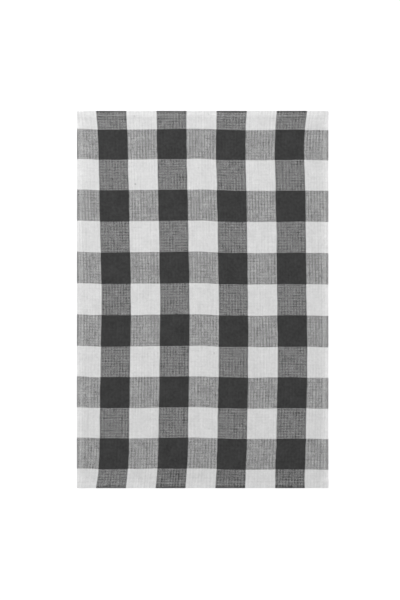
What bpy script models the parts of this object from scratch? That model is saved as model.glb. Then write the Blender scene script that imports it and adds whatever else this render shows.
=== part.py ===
"""Woven check tea towel, laid out face up: one hemmed cotton panel, a single closed sheet.

Metres, +Z up. The origin is at the middle of the underside. +X runs across the width
and +Y along the length. The four hems are turned to the underside, so each edge of the
sheet is a folded one, and the face stands higher over the hems than over the field.
"""

import math

import bmesh
import bpy

# Driving dimensions
WIDTH = 0.508
LENGTH = 0.762
CLOTH = 0.0010  # the field, one layer and its nap
HEM_RISE = 0.0010  # what the two turned layers of a hem add under the face

# Folded width of each hem, named as the towel lies: they were turned by hand feed and differ
LEFT_HEM = 0.0125
RIGHT_HEM = 0.0100
NEAR_HEM = 0.0140
FAR_HEM = 0.0115

# The field isn't pressed dead flat: long low waves of the face between the hems
WAVE_HEIGHT = 0.00022
WAVE_LENGTH_X = 0.231
WAVE_LENGTH_Y = 0.318
FIELD_CELL = 0.042  # the largest grid cell that still follows those waves

# A hem in section, from its folded edge to the flat field, one row for each station.
# from_fold / from_seam: the station's distance from the folded edge, or from the hem's
# inner edge. rise: share of HEM_RISE under the face there. lift: height of the underside
# above the table, where the cloth bridges down off the hem. full: how much of the local
# thickness is left where the fold turns round.
FOLD_ROWS = (
    # from_fold, rise, lift, full
    (0.0000, 0.97, 0.0, 0.32),
    (0.0003, 0.98, 0.0, 0.74),
    (0.0010, 1.00, 0.0, 1.00),
)
SEAM_ROWS = (
    # from_seam, rise, lift, full
    (-0.0030, 1.00, 0.0, 1.00),
    (-0.0016, 0.80, 0.0, 1.00),
    (-0.0002, 0.95, 0.0, 1.00),
    (0.0005, 0.88, 0.00045, 1.00),
    (0.0035, 0.32, 0.00022, 1.00),
    (0.0080, 0.0, 0.0, 1.00),
)

COTTON_COLOR = (0.31, 0.31, 0.31, 1.0)
COTTON_ROUGHNESS = 0.92


def clear_scene():
    """Starts from an empty scene."""
    for item in list(bpy.data.objects):
        bpy.data.objects.remove(item, do_unlink=True)


def cotton_material():
    """Matt woven cotton, in the average tone of its white and charcoal checks."""
    material = bpy.data.materials.new("cotton")
    material.use_nodes = True
    shader = material.node_tree.nodes["Principled BSDF"]
    shader.inputs["Base Color"].default_value = COTTON_COLOR
    shader.inputs["Roughness"].default_value = COTTON_ROUGHNESS
    shader.inputs["Metallic"].default_value = 0.0
    material.diffuse_color = COTTON_COLOR
    return material


def hem_rows(hem):
    """The stations of one hem as (inset from the edge, rise, lift, full)."""
    seam_rows = [(hem + from_seam, *rest) for from_seam, *rest in SEAM_ROWS]
    return [*FOLD_ROWS, *seam_rows]


def across(size, low_hem, high_hem):
    """Stations from one edge to the opposite one, as (coordinate, rise, lift, full)."""
    half = size / 2
    low = [(inset - half, *rest) for inset, *rest in hem_rows(low_hem)]
    high = [(half - inset, *rest) for inset, *rest in reversed(hem_rows(high_hem))]
    field_start = low[-1][0]
    field = high[0][0] - field_start
    cells = math.ceil(field / FIELD_CELL)
    middle = [(field_start + field * i / cells, 0.0, 0.0, 1.0) for i in range(1, cells)]
    return [*low, *middle, *high]


def wave(x, y):
    """How far the field's face stands above or below its mean, fading out at the hems."""
    fade_x = math.cos(math.pi * x / WIDTH)
    fade_y = math.cos(math.pi * y / LENGTH)
    ripple = math.sin(2 * math.pi * (x / WAVE_LENGTH_X + y / (3 * WAVE_LENGTH_Y)))
    swell = math.sin(2 * math.pi * (y / WAVE_LENGTH_Y - x / (4 * WAVE_LENGTH_X)) + 0.9)
    return WAVE_HEIGHT * fade_x * fade_y * (0.55 * ripple + 0.45 * swell)


def heights(station_x, station_y):
    """Underside and face heights where two stations cross."""
    x, rise_x, lift_x, full_x = station_x
    y, rise_y, lift_y, full_y = station_y
    face = CLOTH + HEM_RISE * (rise_x + rise_y) + wave(x, y)
    underside = max(lift_x * (1 - rise_y), lift_y * (1 - rise_x))
    middle = (face + underside) / 2
    half = (face - underside) / 2 * full_x * full_y
    return middle - half, middle + half


def grid_faces(bm, rows, upwards):
    """Quads between neighbouring rows of vertices."""
    for row, next_row in zip(rows, rows[1:]):
        for i in range(len(row) - 1):
            corners = (row[i], row[i + 1], next_row[i + 1], next_row[i])
            bm.faces.new(corners if upwards else corners[::-1])


def around(rows):
    """The outermost vertices of a grid, counter-clockwise seen from above."""
    right = [row[-1] for row in rows[1:]]
    left = [row[0] for row in rows[-2:0:-1]]
    return [*rows[0], *right, *rows[-1][-2::-1], *left]


def towel_mesh():
    """The hemmed panel: face and underside grids, joined along the folded edges."""
    stations_x = across(WIDTH, LEFT_HEM, RIGHT_HEM)
    stations_y = across(LENGTH, NEAR_HEM, FAR_HEM)
    bm = bmesh.new()
    under_rows = []
    face_rows = []
    for station_y in stations_y:
        under_row = []
        face_row = []
        for station_x in stations_x:
            low, high = heights(station_x, station_y)
            under_row.append(bm.verts.new((station_x[0], station_y[0], low)))
            face_row.append(bm.verts.new((station_x[0], station_y[0], high)))
        under_rows.append(under_row)
        face_rows.append(face_row)
    grid_faces(bm, face_rows, upwards=True)
    grid_faces(bm, under_rows, upwards=False)
    under_edge = around(under_rows)
    face_edge = around(face_rows)
    for i, under in enumerate(under_edge):
        following = (i + 1) % len(under_edge)
        bm.faces.new((under, under_edge[following], face_edge[following], face_edge[i]))
    mesh = bpy.data.meshes.new("towel")
    bm.to_mesh(mesh)
    bm.free()
    return mesh


def add_towel():
    """Places the towel with its underside on the table, z = 0."""
    mesh = towel_mesh()
    mesh.materials.append(cotton_material())
    mesh.shade_smooth()
    towel = bpy.data.objects.new("towel", mesh)
    bpy.context.scene.collection.objects.link(towel)
    return towel


clear_scene()
add_towel()
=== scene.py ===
# %% [markdown]
# # A woven check tea towel
# Its edges are turned twice to the underside and sewn down. The lesson starts from the packed
# solid and gives it folded hems, yarns, sewing thread and a matt cotton finish.

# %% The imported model
import math

import bpy
import numpy as np
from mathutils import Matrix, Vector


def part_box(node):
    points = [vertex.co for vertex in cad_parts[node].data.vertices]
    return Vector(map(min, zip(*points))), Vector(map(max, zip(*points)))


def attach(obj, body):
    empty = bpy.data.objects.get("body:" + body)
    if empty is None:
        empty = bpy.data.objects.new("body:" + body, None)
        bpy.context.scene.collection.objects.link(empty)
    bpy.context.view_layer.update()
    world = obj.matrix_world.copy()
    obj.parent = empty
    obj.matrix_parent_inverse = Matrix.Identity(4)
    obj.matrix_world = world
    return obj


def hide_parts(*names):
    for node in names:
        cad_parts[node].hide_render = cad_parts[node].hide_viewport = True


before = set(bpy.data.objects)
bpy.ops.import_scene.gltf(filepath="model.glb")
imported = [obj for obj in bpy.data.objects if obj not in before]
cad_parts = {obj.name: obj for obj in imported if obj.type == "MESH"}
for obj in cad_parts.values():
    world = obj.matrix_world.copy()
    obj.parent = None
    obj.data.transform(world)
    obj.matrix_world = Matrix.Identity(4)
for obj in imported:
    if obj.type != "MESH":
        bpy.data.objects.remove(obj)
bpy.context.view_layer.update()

# %% [markdown]
# ## Sizes
# The finished width and length are read from the solid, so the cloth can't drift from it. The
# hems repeat its four hem widths, which differ a little, as on hems fed by hand. Such cotton
# is about a third of a millimetre thick, thinner than the solid that stands for it.

# %% Sizes of the towel
MM = 0.001
low_corner, high_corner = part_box("towel")
WIDTH = high_corner[0] - low_corner[0]
LENGTH = high_corner[1] - low_corner[1]
CLOTH = 0.36 * MM  # thickness of one layer
LAYER = 0.54 * MM  # from one layer of a hem to the next, middle to middle
HEMS = {"left": 12.5 * MM, "right": 10.0 * MM, "near": 14.0 * MM, "far": 11.5 * MM}
TUCKED = 0.82  # width of the layer tucked inside a hem, as a share of the hem
SEAM_INSET = 1.6 * MM  # from a hem's inner edge out to its row of stitches
print("finished size, mm:", round(WIDTH / MM, 1), "x", round(LENGTH / MM, 1))

# %% [markdown]
# ## Folding a hem
# In section a hem starts at the cloth's raw edge, lies between the other two layers, turns
# round at the hem's inner edge, runs out along the table, turns round the towel's folded edge
# and becomes the face. Stations along that path are listed once, by their distance on the flat
# cut cloth, and a function says where each comes to lie. Simple Deform modifiers could bend a
# plane. Stations were chosen because they put short faces only where the cloth turns and keep
# their place on the flat cloth, so the check runs round every fold.

# %% Stations along one side's hem
FACE, OUTER_TURN, UNDER, INNER_TURN, INSIDE = range(5)
# Insets of the face's stations, mm: from where the fold begins, and from the hem's inner edge
NEAR_FOLD = [0.4, 1.2, 2.0, 2.8, 3.7, 5.0]
NEAR_SEAM = [-3.6, -2.7, -2.1, -1.6, -1.1, -0.4, 0.5, 1.6, 3.2, 5.4, 8.0]


def hem_stations(half, hem):
    """(part, turn, outwards, cut) from the face's last station to the raw edge."""
    turn_at = half - LAYER - CLOTH / 2
    inner_at = half - hem + LAYER / 2 + CLOTH / 2
    face = [half - hem - inset * MM for inset in reversed(NEAR_SEAM)]
    face += [turn_at - inset * MM for inset in reversed(NEAR_FOLD)]
    rows = [(FACE, 0.0, out, out) for out in face]
    cut = turn_at
    for part, start, run, radius, steps, taken in (
        # part, start, straight run, turn's radius, steps, and which of them are stations
        (OUTER_TURN, turn_at, 0.0, LAYER, 10, range(11)),
        (UNDER, turn_at, inner_at - turn_at, 0.0, 5, range(1, 5)),
        (INNER_TURN, inner_at, 0.0, LAYER / 2, 8, range(9)),
        (INSIDE, inner_at, hem * TUCKED, 0.0, 3, range(1, 4)),
    ):
        for i in taken:
            turn = math.pi * i / steps if radius else 0.0
            along_cut = cut + abs(run) * i / steps + radius * turn
            rows.append((part, turn, start + run * i / steps, along_cut))
        cut += abs(run) + radius * math.pi
    return np.array(rows)


def stations(size, low_hem, high_hem, cell):
    """All stations across the cloth, from raw edge to raw edge, with a side column."""
    low = hem_stations(size / 2, low_hem)[::-1] * (1, 1, 1, -1)
    high = hem_stations(size / 2, high_hem)
    start, end = -low[-1, 2], high[0, 2]
    count = math.ceil((end - start) / cell)
    field = start + (end - start) * np.arange(1, count) / count
    rows = np.stack([np.full(len(field), FACE), 0 * field, np.abs(field), field], axis=-1)
    part, turn, out, cut = np.concatenate([low, rows, high]).T
    side = np.concatenate([-np.ones(len(low)), np.sign(field), np.ones(len(high))])
    hem = np.where(side < 0, low_hem, high_hem)
    return {"side": side, "part": part, "turn": turn, "out": out, "cut": cut, "hem": hem}


FIELD_CELL = 5.4 * MM
across = stations(WIDTH, HEMS["left"], HEMS["right"], FIELD_CELL)
along = stations(LENGTH, HEMS["near"], HEMS["far"], FIELD_CELL)
cut_size = (float(np.ptp(across["cut"])), float(np.ptp(along["cut"])))
print("stations:", len(across["cut"]), "x", len(along["cut"]))
print("cut cloth, mm:", [round(side / MM, 1) for side in cut_size])

# %% [markdown]
# ## Where the folds put each station
# A hem folds one layer along the sides, but at the corners the end hems fold a stack that is
# already three layers high. So the fold takes the depth at which a point already lies and the
# height of its stack, and the outermost layer goes round the widest turn. A cloth simulation
# could press the layers together, but they are thinner than the distance it needs between
# them, and a formula gives the same towel every time.


# %% The fold as a formula
def turns(path, half, stack):
    """Radius and start of the turn at the folded edge and of the turn at the inner edge."""
    outer = (3 * stack - LAYER) / 2
    inner = stack - LAYER / 2
    turn_at = half - outer - CLOTH / 2
    inner_at = half - path["hem"] + inner + CLOTH / 2
    return outer, inner, turn_at, inner_at


def moved(out, low, high, new_low, new_high):
    """Moves places between low and high to the same share of the way between the new ends."""
    return new_low + (out - low) * (new_high - new_low) / (high - low)


def fold(path, half, depth, stack):
    """Distance from the middle, and depth under the face, of each station after folding."""
    outer, inner, turn_at, inner_at = turns(path, half, stack)
    _, _, thin_turn_at, thin_inner_at = turns(path, half, LAYER)
    sine, cosine = np.sin(path["turn"]), np.cos(path["turn"])
    part, out = path["part"], path["out"]
    hem_edge = half - path["hem"]
    on_hem = moved(out, hem_edge, thin_turn_at, hem_edge, turn_at)
    hidden = moved(out, thin_inner_at, thin_turn_at, inner_at, turn_at)
    place = np.select(
        [part == OUTER_TURN, part == INNER_TURN, part != FACE, out > hem_edge],
        [turn_at + (outer - depth) * sine, inner_at - (inner - depth) * sine, hidden, on_hem],
        out + 0 * depth,
    )
    inner_middle = 2 * stack - LAYER / 2
    round_outer = outer - (outer - depth) * cosine
    round_inner = inner_middle + (inner - depth) * cosine
    below = np.select(
        [part == FACE, part == OUTER_TURN, part == UNDER, part == INNER_TURN],
        [depth, round_outer, 2 * outer - depth, round_inner],
        stack + depth,
    )
    return path["side"] * place, below


# %% [markdown]
# ## How high the face stands
# Over a hem the face stands two layers up, and at the corners eight. Past the hem's inner edge
# the cloth comes down to the table in a soft curve, along the stitches it is pulled in, and
# long low waves are left in the field. Sculpting could give such heights. Short tables do it
# here, because the stitches can then ask for the same height and lie exactly on the cloth.

# %% Height of the face
# How far a hem still holds the cloth up, by distance past the hem's inner edge
HOLD_AT = np.array([-1.0, 0.0, 0.5, 1.6, 3.2, 5.4, 8.0]) * MM
HOLD_SHARE = np.array([1.0, 0.97, 0.9, 0.66, 0.34, 0.1, 0.0])
# How much of a hem's height is left near its stitches, by distance from them
PULL_AT = np.array([-2.0, -1.1, -0.5, 0.0, 0.5, 1.2]) * MM
PULL_SHARE = np.array([1.0, 0.93, 0.80, 0.72, 0.80, 1.0])
UNDER_PULL = 0.6  # share of that which draws the underside up, off the table
CORNER_PRESS = 0.30  # how much flatter nine layers are pressed at a corner
WAVE_HEIGHT = 0.5 * MM
EDGE_CALM = 0.75  # share of the waves' height that is gone at the edges


def past_hem(place, half, low_hem, high_hem):
    """Distance past the hem's inner edge, towards the field, on whichever side is nearer."""
    return half - np.abs(place) - np.where(place < 0, low_hem, high_hem)


def wave(x, y, across, along, start):
    """A ripple by its two wavelengths, and where it starts, in radians."""
    return np.sin(2 * math.pi * (x / across + y / along) + start)


def waves(x, y):
    """Height of the long waves left in the cloth, never below the table."""
    diagonal = wave(x, y, across=0.231, along=0.95, start=0.4)
    crosswise = wave(x, y, across=-0.92, along=0.318, start=0.9)
    small = wave(x, y, across=0.12, along=-0.17, start=2.1) * np.cos(2 * math.pi * y / 0.21)
    shape = 0.5 + 0.24 * diagonal + 0.18 * crosswise + 0.08 * small
    calm_x = 1 - EDGE_CALM * np.abs(2 * x / WIDTH) ** 8
    calm_y = 1 - EDGE_CALM * np.abs(2 * y / LENGTH) ** 10
    return WAVE_HEIGHT * shape * calm_x * calm_y


def relief(x, y):
    """The face's middle height, the layers' squeeze and depth, and the side hems' hold."""
    from_side = past_hem(x, WIDTH / 2, HEMS["left"], HEMS["right"])
    from_end = past_hem(y, LENGTH / 2, HEMS["near"], HEMS["far"])
    side_hold = np.interp(from_side, HOLD_AT, HOLD_SHARE)
    end_hold = np.interp(from_end, HOLD_AT, HOLD_SHARE)
    side_pull = np.interp(from_side + SEAM_INSET, PULL_AT, PULL_SHARE)
    end_pull = np.interp(from_end + SEAM_INSET, PULL_AT, PULL_SHARE)
    deepest = 2 * LAYER * (side_hold + end_hold + 2 * side_hold * end_hold)
    pull = np.minimum(side_pull, end_pull)
    squeeze = pull * (1 - CORNER_PRESS * side_hold * end_hold)
    lifted = (1 - pull) * deepest * UNDER_PULL
    height = CLOTH / 2 + squeeze * deepest + lifted + waves(x, y)
    return height, squeeze, deepest, side_hold


# %% [markdown]
# ## The cloth as a mesh
# The stations across and along make a grid over the whole cut rectangle. It is folded twice,
# first the long sides and then the ends, in the order in which a towel is sewn. The grid is
# one surface, so no seam parts the hems from the field. Both skins could be modelled, but a
# Solidify modifier gives the sheet its thickness evenly round every turn.

# %% Fold the cut cloth
grid_shape = (len(along["cut"]), len(across["cut"]))
cut_x = np.broadcast_to(across["cut"], grid_shape)
cut_y = np.broadcast_to(along["cut"][:, None], grid_shape)
side_x, side_depth = fold(across, WIDTH / 2, 0.0, LAYER)
x = np.broadcast_to(side_x, grid_shape)
_, _, _, held = relief(side_x, 0.0)
rows = {name: values[:, None] for name, values in along.items()}
stack = LAYER * (1 + 2 * held)
y, depth = fold(rows, LENGTH / 2, side_depth[None, :], stack[None, :])
height, squeeze, _, _ = relief(x, y)
z = height - squeeze * depth
points = np.stack([x, y, z], axis=-1)
print("folded cloth, mm:", np.round(np.ptp(points, axis=(0, 1)) / MM, 2))


# %% Make the sheet
def add_object(name, data):
    """Puts a mesh, lamp or camera in the scene."""
    made = bpy.data.objects.new(name, data)
    bpy.context.scene.collection.objects.link(made)
    return made


def smooth_mesh(name, points, faces):
    mesh = bpy.data.meshes.new(name)
    mesh.from_pydata(points.reshape(-1, 3).tolist(), [], faces)
    mesh.shade_smooth()
    return mesh


index = np.arange(x.size).reshape(grid_shape)
quads = np.stack([index[:-1, :-1], index[:-1, 1:], index[1:, 1:], index[1:, :-1]], axis=-1)
quads = quads.reshape(-1, 4)
cloth_mesh = smooth_mesh("towel_cloth", points, quads.tolist())
cloth = add_object("towel_cloth", cloth_mesh)
thickness = cloth.modifiers.new("thickness", "SOLIDIFY")
thickness.thickness = CLOTH
thickness.offset = 0.0
print("faces in the sheet:", 2 * len(quads))

# %% [markdown]
# ## Finding each yarn
# Every point of the cloth gets two numbers, the warp end and the pick that pass through it.
# Warp ends run along the towel and picks across it. Neither is straight on a finished towel:
# the ends bow by a few millimetres, most of all near the short hems, and the picks take a
# small step near the middle. Those shifts are listed. A UV map could carry the numbers,
# but an attribute takes them as they are, and either way the check bows with the yarns.

# %% The weaver's draft
ENDS_PER_BAND = 70
PICKS_PER_BAND = 74
# Along the towel: height, sideways shift of the middle end, and width of one warp band, mm
WARP_ROWS = np.array([
    # height, shift, band
    (430.0, -2.6, 61.6),
    (378.0, -2.3, 60.8),
    (352.0, -2.6, 60.0),
    (310.0, -2.7, 59.4),
    (230.0, -1.0, 59.4),
    (120.0, 1.1, 59.3),
    (0.0, 2.9, 59.1),
    (-110.0, 2.8, 59.6),
    (-240.0, 0.8, 59.6),
    (-310.0, -0.3, 59.4),
    (-345.0, -2.0, 59.6),
    (-378.0, -4.3, 60.2),
    (-430.0, -7.1, 60.7),
])
# Where the far white band begins, mm, and the heights of all bands from there down
FIRST_PICK = 404.1
WEFT_BANDS = [60.8, 60.8, 61.8, 62.9, 62.7, 63.5, 63.0, 63.6, 61.7, 62.5, 61.1, 62.2, 62.0]
# Across the towel: place, and how far the picks stand above their mean there, mm
WEFT_ROWS = np.array([
    # place, rise
    (-275.0, 2.0),
    (-242.0, 1.2),
    (-200.0, -0.1),
    (-160.0, 0.0),
    (-80.0, 0.9),
    (-30.0, 1.4),
    (5.0, 1.2),
    (35.0, -0.3),
    (80.0, -1.1),
    (200.0, -0.6),
    (245.0, -1.3),
    (275.0, -1.8),
])


# %% Number the yarns
def smooth_curve(rows, column, at):
    """A smooth line through listed rows, with a cubic from each to the next."""
    order = np.argsort(rows[:, 0])
    place, value = rows[order, 0] * MM, rows[order, column] * MM
    slope = np.gradient(value, place)
    i = np.clip(np.searchsorted(place, at) - 1, 0, len(place) - 2)
    step = place[i + 1] - place[i]
    t = np.clip((at - place[i]) / step, 0, 1)
    first = (1 + 2 * t) * (1 - t) ** 2 * value[i] + t * (1 - t) ** 2 * step * slope[i]
    second = t * t * (3 - 2 * t) * value[i + 1] + t * t * (t - 1) * step * slope[i + 1]
    return first + second


shift = smooth_curve(WARP_ROWS, 1, cut_y)
warp_band = smooth_curve(WARP_ROWS, 2, cut_y)
end_number = ((cut_x - shift) / warp_band + 0.5) * ENDS_PER_BAND
edges = (FIRST_PICK - np.concatenate([[0.0], np.cumsum(WEFT_BANDS)])) * MM
level = cut_y - smooth_curve(WEFT_ROWS, 1, cut_x)
pick_number = np.interp(level, edges[::-1], np.arange(len(edges))[::-1]) * PICKS_PER_BAND
print("warp ends:", round(np.ptp(end_number)), "picks:", round(np.ptp(pick_number)))


def point_values(mesh, name, *columns):
    """Writes up to three numbers for each point, which a material reads by name."""
    filled = np.broadcast_arrays(*columns, *[0.0] * (3 - len(columns)))
    values = np.stack(filled, axis=-1).astype(np.float32)
    layer = mesh.attributes.new(name, "FLOAT_VECTOR", "POINT")
    layer.data.foreach_set("vector", values.ravel())


point_values(cloth_mesh, "yarns", end_number, pick_number)

# %% [markdown]
# ## Marks that the hems leave
# Three layers of white cotton look a little brighter than one, and a fold spreads the yarns
# that cross it into view. Each hem is pressed differently, so each has its own brightness and
# its own width of the line along the fold. In the last band before the near hem the warp lies
# closer, which makes its greys darker, and the same mask paints a little shade there that
# darkens the white squares too. Painting could mark all this, but the stations already know
# where the hems are, so the masks are worked out from them and ride on the mesh too.

# %% Hem and fold masks
HEM_MARKS = {
    # brightness, width of the line along the fold
    "left": (1.1, 4.0 * MM),
    "right": (1.4, 5.2 * MM),
    "near": (0.6, 4.2 * MM),
    "far": (1.1, 4.1 * MM),
}
HEM_BLUR = 1.1 * MM
FOLD_BLUR = 0.5 * MM
# the band so marked also gets a little painted shade, on the white squares too
CLOSE_END = (-130 * MM, -338 * MM)  # the closer warp lies right of and nearer than this
CLOSE_BLUR = (25 * MM, 5 * MM)


def soft_step(distance, blur):
    """1 well below zero, 0 well above it."""
    return 1 / (1 + np.exp(distance / blur))


def hem_masks(path, size, place, low, high):
    """How much each point is hem, and folded edge, for one direction's stations."""
    inset = size / 2 - np.abs(place)
    is_low = path["side"] < 0
    glow, fold_width = (
        np.where(is_low, low_mark, high_mark)
        for low_mark, high_mark in zip(HEM_MARKS[low], HEM_MARKS[high])
    )
    on_face = path["part"] == FACE
    turning = (path["part"] == OUTER_TURN) | (path["part"] == INNER_TURN)
    hem = np.where(on_face, soft_step(inset - path["hem"], HEM_BLUR), 1.0) * glow
    edge = np.where(on_face, soft_step(inset - fold_width, FOLD_BLUR), 0.0)
    return hem, np.where(turning, 1.0, edge)


side_hem, side_edge = hem_masks(across, WIDTH, side_x, "left", "right")
end_hem, end_edge = hem_masks(rows, LENGTH, y, "near", "far")
# one mask for the closer warp and for a little painted shade over the same band
close_warp_and_shade = soft_step(CLOSE_END[0] - cut_x, CLOSE_BLUR[0])
close_warp_and_shade = close_warp_and_shade * soft_step(cut_y - CLOSE_END[1], CLOSE_BLUR[1])
point_values(cloth_mesh, "hem", side_hem, end_hem, close_warp_and_shade)
point_values(cloth_mesh, "fold", side_edge, end_edge)
print("values on the cloth's points:", cloth_mesh.attributes.keys())

# %% [markdown]
# ## A flat layout for the cloth
# The cut rectangle is its own pattern piece, so its layout is the cloth laid out again, all at
# one scale. Unwrap tools would have to stretch the folds, and a layout pulled to fill its
# square would blur the weave one way. So the far end is cut off, given a quarter turn and laid
# beside the rest. Face and underside share the layout, as both show the same yarns.

# %% Lay the cut cloth out flat
LAYOUT_GAP = 2.5 * MM
room = (sum(cut_size) + FIELD_CELL + 5 * LAYOUT_GAP) / 2  # side of the square, on the cloth
row_places = along["cut"] - along["cut"].min()
first_turned = np.searchsorted(row_places, room - 2 * LAYOUT_GAP) - 1
turned = np.repeat(np.arange(len(quads)) // (grid_shape[1] - 1) >= first_turned, 4)
corner_points = quads.ravel()
flat_x = LAYOUT_GAP + (cut_x - cut_x.min()).ravel()[corner_points]
flat_y = LAYOUT_GAP + (cut_y - cut_y.min()).ravel()[corner_points]
beside = room - flat_y + row_places[first_turned]
layout_x = np.where(turned, beside, flat_x)
layout_y = np.where(turned, flat_x, flat_y)
layout = cloth_mesh.uv_layers.new(name="OFBake")
layout.uv.foreach_set("vector", (np.stack([layout_x, layout_y], axis=-1) / room).ravel())
print("layout's square, mm:", round(room / MM, 1), "filled:",
      round(cut_size[0] * cut_size[1] / room**2, 3))

# %% [markdown]
# ## Sewing
# A lockstitch shows as a row of short thread loops on both sides of the hem, and each dives
# into the cloth at its ends. A dashed line in the material could pass for it from afar, but
# real loops catch the light and are part of the mesh. They are small capsules along the
# seam at the height of the cloth there, a little uneven, as a machine leaves them.

# %% Stitches
STITCH_PITCH = 3.1 * MM
STITCH_LENGTH = 2.7 * MM
THREAD_RADIUS = 0.15 * MM
STITCH_SIDES = 6
SEAM_END = 1.5 * MM  # from the towel's edge to the first stitch
STITCH_SLANT = (0.05, 0.02)  # mean and spread of the slope across the seam
STITCH_SCATTER = 0.06 * MM
# Along one stitch: place from its middle in half lengths, thickness, and rise in radii
STITCH_ROWS = np.array([
    # along, thick, rise
    (-1.00, 0.45, -1.6),
    (-0.82, 0.95, -0.5),
    (-0.35, 1.05, 0.1),
    (0.35, 1.05, 0.1),
    (0.82, 0.95, -0.5),
    (1.00, 0.45, -1.6),
])


def seam_line(start, end):
    """Middles and directions of the stitches from start to end, both (x, y)."""
    start, end = np.array(start), np.array(end)
    length = np.linalg.norm(end - start)
    count = int(length / STITCH_PITCH)
    share = (np.arange(count) + 0.5) / count
    middles = start + share[:, None] * (end - start)
    return middles, np.broadcast_to((end - start) / length, middles.shape)


def seam_lines():
    """The four rows of stitches: two along the sides, two across the ends."""
    left = -WIDTH / 2 + HEMS["left"] - SEAM_INSET
    right = WIDTH / 2 - HEMS["right"] + SEAM_INSET
    near = -LENGTH / 2 + HEMS["near"] - SEAM_INSET
    far = LENGTH / 2 - HEMS["far"] + SEAM_INSET
    x, y = WIDTH / 2 - SEAM_END, LENGTH / 2 - SEAM_END
    lines = [
        seam_line((left, -y), (left, y)),
        seam_line((right, -y), (right, y)),
        seam_line((-x, near), (x, near)),
        seam_line((-x, far), (x, far)),
    ]
    return [np.concatenate(column) for column in zip(*lines)]


# %% Make the stitches
def surface_height(x, y, up):
    """Height of the cloth's face, or of its underside, at x, y."""
    height, squeeze, deepest, _ = relief(x, y)
    return height + CLOTH / 2 if up else height - squeeze * deepest - CLOTH / 2


def stitches(name, up, seed):
    """One mesh of all the stitches on the face or on the underside."""
    chance = np.random.default_rng(seed)
    middles, ways = seam_lines()
    count = len(middles)
    slant = chance.normal(*STITCH_SLANT, count)
    ways = ways + slant[:, None] * ways[:, ::-1] * (-1, 1)
    middles = middles + chance.normal(0, STITCH_SCATTER, (count, 2))
    along_row, thick, rise = STITCH_ROWS.T
    steps = along_row * STITCH_LENGTH / 2
    spine = middles[:, None, :] + ways[:, None, :] * steps[None, :, None]
    ground = surface_height(spine[..., 0], spine[..., 1], up)
    facing = 1.0 if up else -1.0
    angle = 2 * math.pi * np.arange(STITCH_SIDES) / STITCH_SIDES
    radius = THREAD_RADIUS * thick[None, :, None]
    sideways = ways[:, None, None, ::-1] * (-1, 1)
    flat = spine[:, :, None, :] + sideways * (radius * np.cos(angle))[..., None]
    lift = ground + facing * THREAD_RADIUS * rise
    tall = lift[:, :, None] + radius * np.sin(angle)
    ring_points = np.concatenate([flat, tall[..., None]], axis=-1)
    rings = np.arange(count * len(steps) * STITCH_SIDES).reshape(count, len(steps), -1)
    turned = np.roll(rings, -1, axis=2)
    sides = np.stack([rings[:, :-1], turned[:, :-1], turned[:, 1:], rings[:, 1:]], axis=-1)
    faces = sides.reshape(-1, 4).tolist()
    faces += rings[:, 0, ::-1].tolist() + rings[:, -1].tolist()
    mesh = smooth_mesh(name, ring_points, faces)
    round_share = np.arange(STITCH_SIDES) / STITCH_SIDES
    tint = chance.random(count)[:, None, None]
    point_values(mesh, "ply", steps[:, None], round_share, tint)
    print(name, count, "stitches,", len(faces), "faces")
    return add_object(name, mesh)


face_stitches = stitches("face_stitches", up=True, seed=4)
under_stitches = stitches("under_stitches", up=False, seed=5)

# %% [markdown]
# ## Small helpers for nodes
# Materials are built from nodes, and these helpers keep the wiring readable: `wire` links a
# socket or sets a number, `calculate` adds one Math node, and the rest add one small step
# each. A new node goes into the tree that its first linked value comes from. Nodes could be
# placed by hand in the editor, but then their numbers would be out of sight.


# %% Node helpers
def wire(socket, value):
    """Links an output to the socket, or sets the socket's own value."""
    if isinstance(value, bpy.types.NodeSocket):
        socket.id_data.links.new(value, socket)
    else:
        socket.default_value = value


def wire_all(sockets, values):
    for socket, value in zip(sockets, values):
        wire(socket, value)


def set_inputs(node, **values):
    """Sets or links a node's inputs by name, with _ for a space."""
    for label, value in values.items():
        wire(node.inputs[label.replace("_", " ")], value)


def new_node(kind, *values):
    """A node in the tree of the first of its values that is an output."""
    linked = [value for value in values if isinstance(value, bpy.types.NodeSocket)]
    return linked[0].id_data.nodes.new(kind)


def calculate(operation, *values, clamp=False):
    node = new_node("ShaderNodeMath", *values)
    node.operation = operation
    node.use_clamp = clamp
    wire_all(node.inputs, values)
    return node.outputs[0]


def product(first, *others):
    for other in others:
        first = calculate("MULTIPLY", first, other)
    return first


def weighted_sum(start, *pairs):
    """The start plus each value times its weight."""
    for value, weight in pairs:
        start = calculate("MULTIPLY_ADD", value, weight, start)
    return start


def centred(value):
    """A value from 0 to 1, moved to lie round zero."""
    return calculate("SUBTRACT", value, 0.5)


def between(value, low, high, to_low=0.0, to_high=1.0):
    """Maps a range smoothly onto another."""
    node = new_node("ShaderNodeMapRange", value)
    node.interpolation_type = "SMOOTHSTEP"
    wire_all(node.inputs, (value, low, high, to_low, to_high))
    return node.outputs[0]


def split(vector):
    node = new_node("ShaderNodeSeparateXYZ", vector)
    wire(node.inputs[0], vector)
    return node.outputs


def join(*places):
    node = new_node("ShaderNodeCombineXYZ", *places)
    wire_all(node.inputs, places)
    return node.outputs[0]


# %% Noise
def noise(place, scale=1.0, detail=2.0, roughness=0.5):
    node = new_node("ShaderNodeTexNoise", place)
    set_inputs(node, Vector=place, Scale=scale, Detail=detail, Roughness=roughness)
    return node.outputs["Fac"]


def yarn_noise(own, other, scales, offset, detail=1.0, roughness=0.5):
    """Noise with one scale across the yarns (own number) and one along them (the other's)."""
    place = join(product(own, scales[0]), product(other, scales[1]), offset)
    return noise(place, detail=detail, roughness=roughness)


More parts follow.
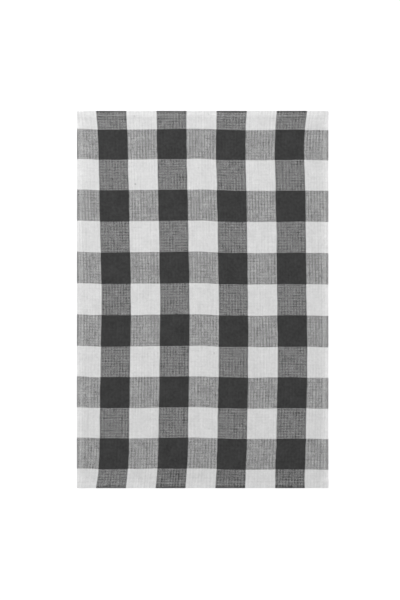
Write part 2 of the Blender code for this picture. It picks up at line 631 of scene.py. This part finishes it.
# %% Node groups
def new_group(name, outputs, yarns=True, **amounts):
    """A node group with named sockets, _ for a space. Returns its tree, inputs and outputs."""
    tree = bpy.data.node_groups.new(name, "ShaderNodeTree")
    vector, number = "NodeSocketVector", "NodeSocketFloat"
    if yarns:
        tree.interface.new_socket("Yarns", in_out="INPUT", socket_type=vector)
    for label, value in amounts.items():
        label = label.replace("_", " ")
        socket = tree.interface.new_socket(label, in_out="INPUT", socket_type=number)
        socket.default_value = value
    for label in outputs:
        kind = vector if label == "Yarns" else number
        tree.interface.new_socket(label, in_out="OUTPUT", socket_type=kind)
    start = tree.nodes.new("NodeGroupInput")
    end = tree.nodes.new("NodeGroupOutput")
    print("node group:", name, "gives", ", ".join(outputs))
    return tree, start.outputs, end.inputs


def place_group(group, **values):
    """Puts a group into the tree that its values come from."""
    node = new_node("ShaderNodeGroup", *values.values())
    node.node_tree = group
    set_inputs(node, **values)
    return node.outputs


# %% [markdown]
# ## Yarns that aren't quite straight
# Washing and pressing leave each yarn a little to one side of its place. The shift is below
# a millimetre, but it keeps the edges of the check from looking ruled. Moving the mesh would
# need far more points, so noise moves the yarns' numbers instead, slowly along each yarn.

# %% Group: yarns pushed aside
WANDER_SCALE = 0.02  # of the noise, for each yarn, as all such scales here


def yarn_wander_group():
    tree, given, result = new_group("yarn wander", ["Yarns"], Amount=2.4)
    end, pick, _ = split(given["Yarns"])
    moved_numbers = []
    for own, other, offset in ((end, pick, 2.0), (pick, end, 31.0)):
        push = yarn_noise(own, other, (WANDER_SCALE, WANDER_SCALE), offset)
        push = weighted_sum(own, (centred(push), given["Amount"]))
        moved_numbers.append(push)
    wire(result["Yarns"], join(*moved_numbers))
    return tree


yarn_wander = yarn_wander_group()

# %% [markdown]
# ## The check
# Bands of 70 dark ends and 70 white ones alternate in the warp, and bands of 74 picks in the
# weft. Where both are dark the cloth is charcoal, where both are white it is white, and where
# they cross it is one of two greys. A Checker texture has squares but no yarns, so it couldn't
# tell the greys apart. This group only says which yarns are dark, and the weave does the rest.


# %% Group: which yarns are dark
def check_draft_group():
    tree, given, result = new_group("check draft", ["Dark Warp", "Dark Weft"])
    end, pick, _ = split(given["Yarns"])
    for number, band, label in (
        (end, ENDS_PER_BAND, "Dark Warp"), (pick, PICKS_PER_BAND, "Dark Weft"),
    ):
        bands = calculate("DIVIDE", number, float(band))
        place = calculate("FLOORED_MODULO", bands, 2.0)
        wire(result[label], calculate("GREATER_THAN", place, 1.0))
    return tree


check_draft = check_draft_group()

# %% [markdown]
# ## The weave
# In a plain weave each end goes over one pick and under the next. Every yarn is given a round
# back and a wave that carries it up and down, and whichever is higher at a point shows.
# Raising the warp gives it longer floats, as on this cloth, where the greys with dark warp are
# darker than those with dark weft. Threads of mesh would be millions of faces, and a Wave
# texture has no over and under. The upper yarn's height is put out too, for the relief and the
# shade between yarns.

# %% Group: plain weave
YARN_BACK = 0.5  # height of a yarn's round back, to the same scale as its wave
YARN_WAVE = 0.35
HALF_YARN = 0.54  # half a yarn's width, a little over half its spacing
YARN_EDGE = 0.1  # how softly one yarn's colour gives way to the other's
DRIFT_SCALE = 0.31
CROWN_RANGE = (1.33, -0.27)  # factor and start that make 0 of the gaps and 1 of the backs


def yarn_height(own, other, wave):
    """Height of the yarns that `own` counts, carried up and down by the ones they cross."""
    number = calculate("FLOOR", own)
    from_axis = centred(calculate("SUBTRACT", own, number))
    sideways = calculate("DIVIDE", calculate("ABSOLUTE", from_axis), HALF_YARN)
    below_top = calculate("POWER", sideways, 2.0)
    back = calculate("SQRT", calculate("SUBTRACT", 1.0, below_top))
    over_or_under = calculate("COSINE", product(number, math.pi))
    carried = calculate("SINE", product(other, math.pi))
    carried = product(carried, over_or_under)
    return weighted_sum(product(back, YARN_BACK), (carried, wave))


def plain_weave_group():
    tree, given, result = new_group(
        "plain weave", ["Warp On Top", "Crown"], Warp_Lead=0.14, Wander=0.16
    )
    end, pick, _ = split(given["Yarns"])
    drift = centred(noise(given["Yarns"], scale=DRIFT_SCALE))
    drift = product(drift, given["Wander"])
    end = calculate("ADD", end, drift)
    pick = calculate("SUBTRACT", pick, drift)
    warp = calculate("ADD", yarn_height(end, pick, YARN_WAVE), given["Warp Lead"])
    weft = yarn_height(pick, end, -YARN_WAVE)
    weft = calculate("SUBTRACT", weft, given["Warp Lead"])
    ahead = calculate("SUBTRACT", warp, weft)
    wire(result["Warp On Top"], between(ahead, -YARN_EDGE, YARN_EDGE))
    top = calculate("MAXIMUM", warp, weft)
    crown = calculate("MULTIPLY_ADD", top, *CROWN_RANGE, clamp=True)
    wire(result["Crown"], crown)
    return tree


plain_weave = plain_weave_group()

# %% [markdown]
# ## Uneven yarn
# Cotton is spun with thick and thin places and takes dye unevenly, so no two ends match and
# each changes along its length. A random number for each yarn would give flat stripes, so the
# tone is noise that is stretched along the yarn.

# %% Group: tone of each yarn
TONE_SCALE = 0.45


def yarn_tone_group():
    tree, given, result = new_group("yarn tone", ["Warp Tone", "Weft Tone"], Length=90.0)
    end, pick, _ = split(given["Yarns"])
    scales = (TONE_SCALE, calculate("DIVIDE", 1.0, given["Length"]))
    for own, other, label, offset in (
        (end, pick, "Warp Tone", 3.7), (pick, end, "Weft Tone", 41.3),
    ):
        tone = yarn_noise(own, other, scales, offset, detail=3.0, roughness=0.65)
        wire(result[label], tone)
    return tree


yarn_tone = yarn_tone_group()

# %% [markdown]
# ## Lines in the cover
# The reed draws the ends in small groups and the picks are beaten up unevenly, so every few
# yarns the warp or the weft comes forward. In the greys this shows as a fine straight grid
# about 6 mm wide, clear in some patches and faint in others. Noise alone has no such rhythm,
# so cosines of the yarns' numbers draw the lines and noise only shifts and fades them.

# %% Group: lines where warp or weft comes forward
ENDS_PER_LINE = 7.0
PICKS_PER_LINE = 6.5
LINE_SCALES = (0.06, 0.004)  # of the noise that shifts the lines
CLEAR_SCALE = 0.05  # and of the one that fades them


def cover_lines_group():
    tree, given, result = new_group(
        "cover lines", ["Warp Lines", "Weft Lines"], Wander=6.0, Faintest=0.3, Clearest=1.7
    )
    end, pick, _ = split(given["Yarns"])
    for own, other, repeat, label, offset in (
        (end, pick, ENDS_PER_LINE, "Warp Lines", 7.0),
        (pick, end, PICKS_PER_LINE, "Weft Lines", 19.0),
    ):
        wander = yarn_noise(own, other, LINE_SCALES, offset)
        turn = weighted_sum(own, (wander, given["Wander"]))
        line = calculate("COSINE", product(turn, 2 * math.pi / repeat))
        patch = noise(join(end, pick, offset), scale=CLEAR_SCALE)
        clarity = between(patch, 0.3, 0.7, given["Faintest"], given["Clearest"])
        wire(result[label], product(line, clarity))
    return tree


cover_lines = cover_lines_group()

# %% [markdown]
# ## Streaks and blotches
# Between those lines the cloth is uneven in a looser way. Slack and tight yarns make short
# streaks, and washing leaves small patches and broad clouds. One noise with many octaves would
# have far more cloud than patch, so two noises of different size are added. All outputs lie
# round zero.

# %% Group: streaks and blotches
STREAK_SCALES = (0.13, 0.06)
PATCH_SCALE = 0.15
CLOUD_SCALE = 0.035


def streaks_and_blotches_group():
    tree, given, result = new_group("streaks and blotches", ["Streaks", "Blotches"], Clouds=0.8)
    end, pick, _ = split(given["Yarns"])
    streaks = -1.0
    for own, other, offset in ((end, pick, 7.0), (pick, end, 19.0)):
        streak = yarn_noise(own, other, STREAK_SCALES, offset, detail=3.0, roughness=0.7)
        streaks = calculate("ADD", streak, streaks)
    wire(result["Streaks"], streaks)
    patches, clouds = (
        centred(noise(given["Yarns"], scale=scale, detail=1.0))
        for scale in (PATCH_SCALE, CLOUD_SCALE)
    )
    wire(result["Blotches"], weighted_sum(patches, (clouds, given["Clouds"])))
    return tree


streaks_and_blotches = streaks_and_blotches_group()

# %% [markdown]
# ## Neps
# Carding leaves tiny knots of fibre in cotton yarn, called neps. On white cloth they are small
# dark specks. Noise with a high threshold would make ragged spots in heaps. The cells of a
# Voronoi texture scatter a few faint round ones well apart, and the one that stands out, in
# the second white square of the third row, is placed by its end and pick.

# %% Group: neps
CLEAR_NEP = (-124.0, 207.9, 0.0)  # its end and pick
NEP_CORE = 0.3  # share of a nep's radius that is fully dark
CELLS_WITH_NEP = (0.6, 1.0)  # random numbers of the cells that have one
FAINT_NEP = 0.5  # the darkest of these, next to the one that stands out


def nep_group():
    tree, given, result = new_group("neps", ["Nep"], Spacing=60.0, Radius=3.0)
    cells = new_node("ShaderNodeTexVoronoi", given["Yarns"])
    cells.voronoi_dimensions = "2D"
    per_yarn = calculate("DIVIDE", 1.0, given["Spacing"])
    set_inputs(cells, Vector=given["Yarns"], Scale=per_yarn)
    scattered = product(cells.outputs["Distance"], given["Spacing"])
    cell_number = split(cells.outputs["Color"])[0]
    strength = between(cell_number, *CELLS_WITH_NEP, to_high=FAINT_NEP)
    placed = new_node("ShaderNodeVectorMath", given["Yarns"])
    placed.operation = "DISTANCE"
    wire_all(placed.inputs, (given["Yarns"], CLEAR_NEP))
    spots = []
    for distance, most in ((scattered, strength), (placed.outputs["Value"], 1.0)):
        away = calculate("DIVIDE", distance, given["Radius"])
        spots.append(product(between(away, NEP_CORE, 1.0, 1.0, 0.0), most))
    wire(result["Nep"], calculate("MAXIMUM", *spots))
    return tree


neps = nep_group()

# %% [markdown]
# ## Cotton fibre
# A yarn is a bundle of fine fibres that lie nearly along it, and some short ones stand out.
# Hair could be grown, but it is far too fine to be seen strand by strand. Noise stretched
# along the yarn gives the strands, and a rounder one the fuzz. They break up the colour, the
# shine and the relief of the cloth and of the sewing thread.

# %% Group: fibre
STRAND_STRETCH = 0.2
STRAND_SHARE = 0.65  # the rest is fuzz
COTTON_ROUGHNESS = (0.84, 0.98)


def cotton_fibre_group():
    tree, given, result = new_group(
        "cotton fibre", ["Fuzz", "Roughness"], yarns=False, Across=0.0, Along=0.0, Fineness=6.0
    )
    across_fine = product(given["Across"], given["Fineness"])
    along_fine = product(given["Along"], given["Fineness"])
    along_coarse = weighted_sum(given["Across"], (along_fine, STRAND_STRETCH))
    strands = noise(join(across_fine, along_coarse), roughness=0.6)
    fuzz = noise(join(across_fine, along_fine, 5.0), scale=0.5)
    mixed = weighted_sum(0.0, (strands, STRAND_SHARE), (fuzz, 1 - STRAND_SHARE))
    wire(result["Fuzz"], mixed)
    wire(result["Roughness"], between(mixed, 0.25, 0.75, *COTTON_ROUGHNESS))
    return tree


cotton_fibre = cotton_fibre_group()

# %% [markdown]
# ## Helpers for the materials
# Cloth and thread read values from their mesh, choose between two numbers or make a colour
# lighter and darker by a mask. A group for each would hide more than it saves, because each is
# only one or two nodes.


# %% Material helpers
def new_material(name):
    """A material. Returns it, its node tree and its Principled shader."""
    material = bpy.data.materials.new(name)
    material.use_nodes = True
    return material, material.node_tree, material.node_tree.nodes["Principled BSDF"]


def attribute(tree, name):
    node = tree.nodes.new("ShaderNodeAttribute")
    node.attribute_name = name
    return node.outputs["Vector"]


def choose(mask, where_zero, where_one):
    """One of two numbers, by a mask."""
    node = new_node("ShaderNodeMix", mask)
    wire_all((node.inputs["Factor"], *node.inputs[2:4]), (mask, where_zero, where_one))
    return node.outputs[0]


def blend_colors(share, first, second, mode="MIX"):
    node = new_node("ShaderNodeMix", share, first, second)
    node.data_type = "RGBA"
    node.blend_type = mode
    wire_all((node.inputs["Factor"], *node.inputs[6:8]), (share, first, second))
    return node.outputs[2]


def lit(color, light):
    """The colour times a number."""
    node = new_node("ShaderNodeCombineColor", light)
    wire_all(node.inputs, [light] * 3)
    return blend_colors(1.0, color, node.outputs[0], mode="MULTIPLY")


def toned(color, tone, strength):
    """The colour made lighter or darker where a 0 to 1 mask is above or below a half."""
    return lit(color, weighted_sum(1.0, (centred(tone), strength)))


def add_relief(shader, height, strength, distance):
    """Bumps on the surface from a height of 0 to 1, which stands for the distance."""
    bump = new_node("ShaderNodeBump", height)
    set_inputs(bump, Height=height, Strength=strength, Distance=distance)
    wire(shader.inputs["Normal"], bump.outputs[0])


# %% [markdown]
# ## How much warp shows
# All that brings the warp forward is added to one number, the share of the face that is warp.
# Lines, streaks and blotches move it, and more so in one grey than in the other. The hems are
# calmer, and a fold brings out the yarns that cross it. Each cause could tint the cloth by
# itself, but moving the yarns keeps white squares white and changes only the greys.

# %% Share of the warp
WARP_SHARE = 0.628
# How strongly each unevenness moves it, with white warp and with charcoal warp
SHARE_CHANGES = {
    "Warp Lines": (0.094, 0.074),
    "Weft Lines": (0.051, 0.065),
    "Streaks": (0.46, 0.36),
    "Blotches": (0.15, 0.27),
}
HEM_CALM = 0.42  # how much of that is missing on a side hem
SIDE_HEM_SHARE = 0.09
CLOSE_WARP_SHARE = 0.06
END_FOLD_SHARE = 0.17
SIDE_FOLD_SHARE = -0.2


def warp_share(tree, dark_warp, uneven):
    side_hem, _, close_warp_and_shade = split(attribute(tree, "hem"))
    side_fold, end_fold, _ = split(attribute(tree, "fold"))
    changes = [
        (uneven[name], choose(dark_warp, *weights)) for name, weights in SHARE_CHANGES.items()
    ]
    return weighted_sum(
        WARP_SHARE,
        (weighted_sum(0.0, *changes), weighted_sum(1.0, (side_hem, -HEM_CALM))),
        (side_hem, SIDE_HEM_SHARE), (close_warp_and_shade, CLOSE_WARP_SHARE),
        (end_fold, END_FOLD_SHARE), (side_fold, SIDE_FOLD_SHARE),
    )


# %% [markdown]
# ## Colour of the yarns
# The draft picks white or charcoal for each yarn, and the weave says which is on top. From
# arm's length yarns run together, so part of the colour is the average of the two and part is
# the yarns themselves. Four flat colours could make the check, but then neither the greys nor
# their grain would follow from the yarns.

# %% Colour of the yarns
WHITE = (0.735, 0.735, 0.735, 1.0)
CHARCOAL = (0.041, 0.041, 0.041, 1.0)
WARP_TONE = 0.37
WEFT_TONE = 0.29
YARN_DETAIL = 0.8  # how much of the colour is single yarns


def yarn_color(yarns, draft, share, warp_on_top):
    tone = place_group(yarn_tone, Yarns=yarns)
    warp = blend_colors(draft["Dark Warp"], WHITE, CHARCOAL)
    weft = blend_colors(draft["Dark Weft"], WHITE, CHARCOAL)
    warp = toned(warp, tone["Warp Tone"], WARP_TONE)
    weft = toned(weft, tone["Weft Tone"], WEFT_TONE)
    average = blend_colors(share, weft, warp)
    single = blend_colors(warp_on_top, weft, warp)
    return blend_colors(YARN_DETAIL, average, single)


# %% [markdown]
# ## Light and shade in the cloth
# Less light comes out of the gaps between yarns. Where dark and white yarns mix, the white
# ones look dimmer, because the dark ones take the light that would go round them. Hems are a
# little brighter, and lines, blotches and neps change the light too. In the band by the near
# hem a little painted shade darkens every colour. Real gaps would shade themselves, but these
# are relief only, so each effect is a factor.

# %% Light and shade
GAP_SHADE = 0.6  # light left in the gaps between yarns
GAP_CROWN = (-0.1, 0.6)  # crown from the bottom of a gap to where its shade ends
MIXED_DIMMING = 0.315
HEM_LIGHT = 0.09
# painted shade: every colour in the band by the near hem a little darker
NEAR_BAND_PAINTED_SHADE = -0.03
NEP_LIGHT = -0.4
WARP_LINE_LIGHT = 0.026
WEFT_LINE_LIGHT = 0.011
BLOTCH_LIGHT = 0.22
GREY_BLOTCH_LIGHT = 0.1  # that much more in the greys
CHARCOAL_BLOTCH_LIGHT = 0.5  # and in the charcoal squares


def cloth_light(tree, yarns, draft, uneven, crown):
    """How much of its colour's light the cloth sends back."""
    side_hem, end_hem, close_warp_and_shade = split(attribute(tree, "hem"))
    hem = calculate("MAXIMUM", side_hem, end_hem)
    nep = place_group(neps, Yarns=yarns)["Nep"]
    apart = calculate("SUBTRACT", draft["Dark Warp"], draft["Dark Weft"])
    mixed = calculate("ABSOLUTE", apart)
    both_dark = product(draft["Dark Warp"], draft["Dark Weft"])
    blotch_light = weighted_sum(
        BLOTCH_LIGHT, (mixed, GREY_BLOTCH_LIGHT), (both_dark, CHARCOAL_BLOTCH_LIGHT)
    )
    return product(
        between(crown, *GAP_CROWN, GAP_SHADE, 1.0),
        weighted_sum(1.0, (mixed, -MIXED_DIMMING)),
        weighted_sum(1.0, (hem, HEM_LIGHT)),
        # painted shade over the band by the near hem
        weighted_sum(1.0, (close_warp_and_shade, NEAR_BAND_PAINTED_SHADE)),
        weighted_sum(1.0, (nep, NEP_LIGHT)),
        weighted_sum(
            1.0, (uneven["Warp Lines"], WARP_LINE_LIGHT),
            (uneven["Weft Lines"], WEFT_LINE_LIGHT), (uneven["Blotches"], blotch_light),
        ),
    )


# %% [markdown]
# ## The cloth's material
# Now the parts come together. The yarns' numbers go through the groups, the share of the warp
# raises it in the weave, and colour, light and relief follow. The finish is matt, with a faint
# sheen from the standing fibres. A velvet shader would be too glossy at the edges.

# %% Woven cotton
MOST_LEAD = 0.33  # how far the warp is raised where it covers nearly all of the face
LEAD_RANGE = (0.05, 0.95)  # shares of the warp from its lowest place to its highest
FUZZ_TONE = 0.4
FUZZ_RELIEF = 0.35


def woven_cotton():
    material, tree, shader = new_material("woven_cotton")
    yarns = place_group(yarn_wander, Yarns=attribute(tree, "yarns"))["Yarns"]
    draft = place_group(check_draft, Yarns=yarns)
    uneven = {}
    for group in (cover_lines, streaks_and_blotches):
        uneven.update(place_group(group, Yarns=yarns).items())
    share = warp_share(tree, draft["Dark Warp"], uneven)
    lead = between(share, *LEAD_RANGE, -MOST_LEAD, MOST_LEAD)
    weave = place_group(plain_weave, Yarns=yarns, Warp_Lead=lead)
    on_top = weave["Warp On Top"]
    end, pick, _ = split(yarns)
    across_yarn = choose(on_top, pick, end)
    along_yarn = choose(on_top, end, pick)
    fibre = place_group(cotton_fibre, Across=across_yarn, Along=along_yarn)
    color = yarn_color(yarns, draft, share, on_top)
    color = lit(color, cloth_light(tree, yarns, draft, uneven, weave["Crown"]))
    color = toned(color, fibre["Fuzz"], FUZZ_TONE)
    set_inputs(shader, Base_Color=color, Roughness=fibre["Roughness"])
    set_inputs(shader, Sheen_Weight=0.12, Sheen_Roughness=0.45, Specular_IOR_Level=0.25)
    height = weighted_sum(weave["Crown"], (fibre["Fuzz"], FUZZ_RELIEF))
    add_relief(shader, height, strength=0.8, distance=0.14 * MM)
    return material


cotton = woven_cotton()
cloth_mesh.materials.append(cotton)
print(cotton.name, "has", len(cotton.node_tree.nodes), "nodes")

# %% [markdown]
# ## The thread's material
# Sewing thread is two or more plies twisted together. Modelled plies would need many more
# faces than so small a loop can show. So slanting stripes stand for the twist, in relief and as
# painted shade in the colour, darker in the grooves between plies and lighter on their backs.
# The fibre group roughens the thread as it does the cloth.

# %% Sewing thread
THREAD = (0.5, 0.5, 0.495, 1.0)
TWIST_PITCH = 0.55 * MM
# painted shade and light of the twist: darker in the grooves between plies
PLY_GROOVE_SHADE = 0.32
STITCH_TONE = 0.14  # how much the stitches differ


def sewing_thread():
    material, tree, shader = new_material("sewing_thread")
    run, round_share, tint = split(attribute(tree, "ply"))
    length = calculate("DIVIDE", run, TWIST_PITCH)
    turn = product(calculate("ADD", length, round_share), 2 * math.pi)
    twist = weighted_sum(0.5, (calculate("SINE", turn), 0.5))
    across_ply = calculate("ADD", round_share, tint)
    fibre = place_group(cotton_fibre, Across=across_ply, Along=length, Fineness=9.0)
    # painted shade: the colour follows the twist's relief, darker in the grooves
    color = toned(THREAD, twist, PLY_GROOVE_SHADE)
    color = toned(color, tint, STITCH_TONE)
    set_inputs(shader, Base_Color=color, Roughness=fibre["Roughness"], Sheen_Weight=0.1)
    add_relief(shader, twist, strength=0.5, distance=0.05 * MM)
    return material


thread_material = sewing_thread()
for row in (face_stitches, under_stitches):
    row.data.materials.append(thread_material)
print(thread_material.name, "has", len(thread_material.node_tree.nodes), "nodes")

# %% [markdown]
# ## Fastening the pieces to the model
# The towel has no joints, so everything rides on its one body. The cloth takes the place of
# the solid, which stays in the model for collision. All three pieces could be one, but apart
# each keeps its own material.

# %% Ride and replace
for piece in (cloth, face_stitches, under_stitches):
    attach(piece, "root")
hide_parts("towel")
print("pieces on the towel:", cloth.name, face_stitches.name, under_stitches.name)

# %% [markdown]
# ## Table
# The towel lies on a plain white table. It could be a curved backdrop, but a large plane runs
# on past every view. From below it is seen through, so that it doesn't hide the underside.

# %% Table
TABLE_SIZE = 60.0
bpy.ops.mesh.primitive_plane_add(size=TABLE_SIZE, location=(0, 0, -0.1 * MM))
table = bpy.context.object
table.name = "table"
table_paint, paint_tree, paint = new_material("table_white")
set_inputs(paint, Base_Color=(0.9, 0.9, 0.9, 1.0), Roughness=0.9)
set_inputs(paint, Emission_Color=(1.0, 1.0, 1.0, 1.0), Emission_Strength=0.3)
one_way = paint_tree.nodes.new("ShaderNodeMixShader")
from_below = paint_tree.nodes.new("ShaderNodeNewGeometry").outputs["Backfacing"]
clear = paint_tree.nodes.new("ShaderNodeBsdfTransparent").outputs[0]
wire_all(one_way.inputs, (from_below, paint.outputs[0], clear))
wire(paint_tree.nodes["Material Output"].inputs["Surface"], one_way.outputs[0])
table.data.materials.append(table_paint)

# %% [markdown]
# ## Light
# The picture has soft light from all round and a little more from beyond the far left corner.
# An area lamp gives that slope, and a pale sky the rest. A sky of one tone would end in a line
# at the horizon, so it grows whiter there and runs into the table.

# %% Light
HORIZON_LIGHT, SKY_LIGHT = 1.12, 0.8
EVEN_FROM = 0.35  # height in the sky, 1 straight up, above which it is all one tone
world = bpy.data.worlds.new("studio")
bpy.context.scene.world = world
world.use_nodes = True
sky = world.node_tree.nodes["Background"]
direction = world.node_tree.nodes.new("ShaderNodeTexCoord").outputs["Generated"]
upwards = split(direction)[2]
sky_light = between(upwards, 0.0, EVEN_FROM, HORIZON_LIGHT, SKY_LIGHT)
set_inputs(sky, Color=(1.0, 1.0, 1.0, 1.0), Strength=sky_light)
lamp_data = bpy.data.lights.new("soft_box", "AREA")
lamp_data.shape = "SQUARE"
lamp_data.size = 0.8
lamp_data.energy = 6.8
lamp = add_object("soft_box", lamp_data)
lamp.location = (-0.62, 1.08, 1.05)
lamp.rotation_euler = (-lamp.location).to_track_quat("-Z", "Y").to_euler()
print("lamp, m from the towel's middle:", round(lamp.location.length, 2))

# %% [markdown]
# ## Camera
# The camera looks straight down from the height at which the towel takes up its share of the
# picture. An orthographic one would do as well. A long lens was chosen, because it keeps the
# edges straight and square and behaves like a real camera from other sides.

# %% Camera
PHOTO_SIZE = (400, 600)
TOWEL_ON_PHOTO = (251.3, 377.5)  # width and height of the towel in the picture, pixels
MIDDLE_ON_PHOTO = (202.6, 299.5)
metres_per_pixel = (WIDTH / TOWEL_ON_PHOTO[0] + LENGTH / TOWEL_ON_PHOTO[1]) / 2
camera_data = bpy.data.cameras.new("camera")
camera_data.lens = 100.0
camera_data.sensor_width = 36.0
distance = PHOTO_SIZE[1] * metres_per_pixel * camera_data.lens / camera_data.sensor_width
camera = add_object("camera", camera_data)
camera.location = (
    (PHOTO_SIZE[0] / 2 - MIDDLE_ON_PHOTO[0]) * metres_per_pixel,
    (MIDDLE_ON_PHOTO[1] - PHOTO_SIZE[1] / 2) * metres_per_pixel,
    distance,
)
bpy.context.scene.camera = camera
bpy.context.scene.view_settings.view_transform = "Standard"
print("camera height, m:", round(distance, 3))
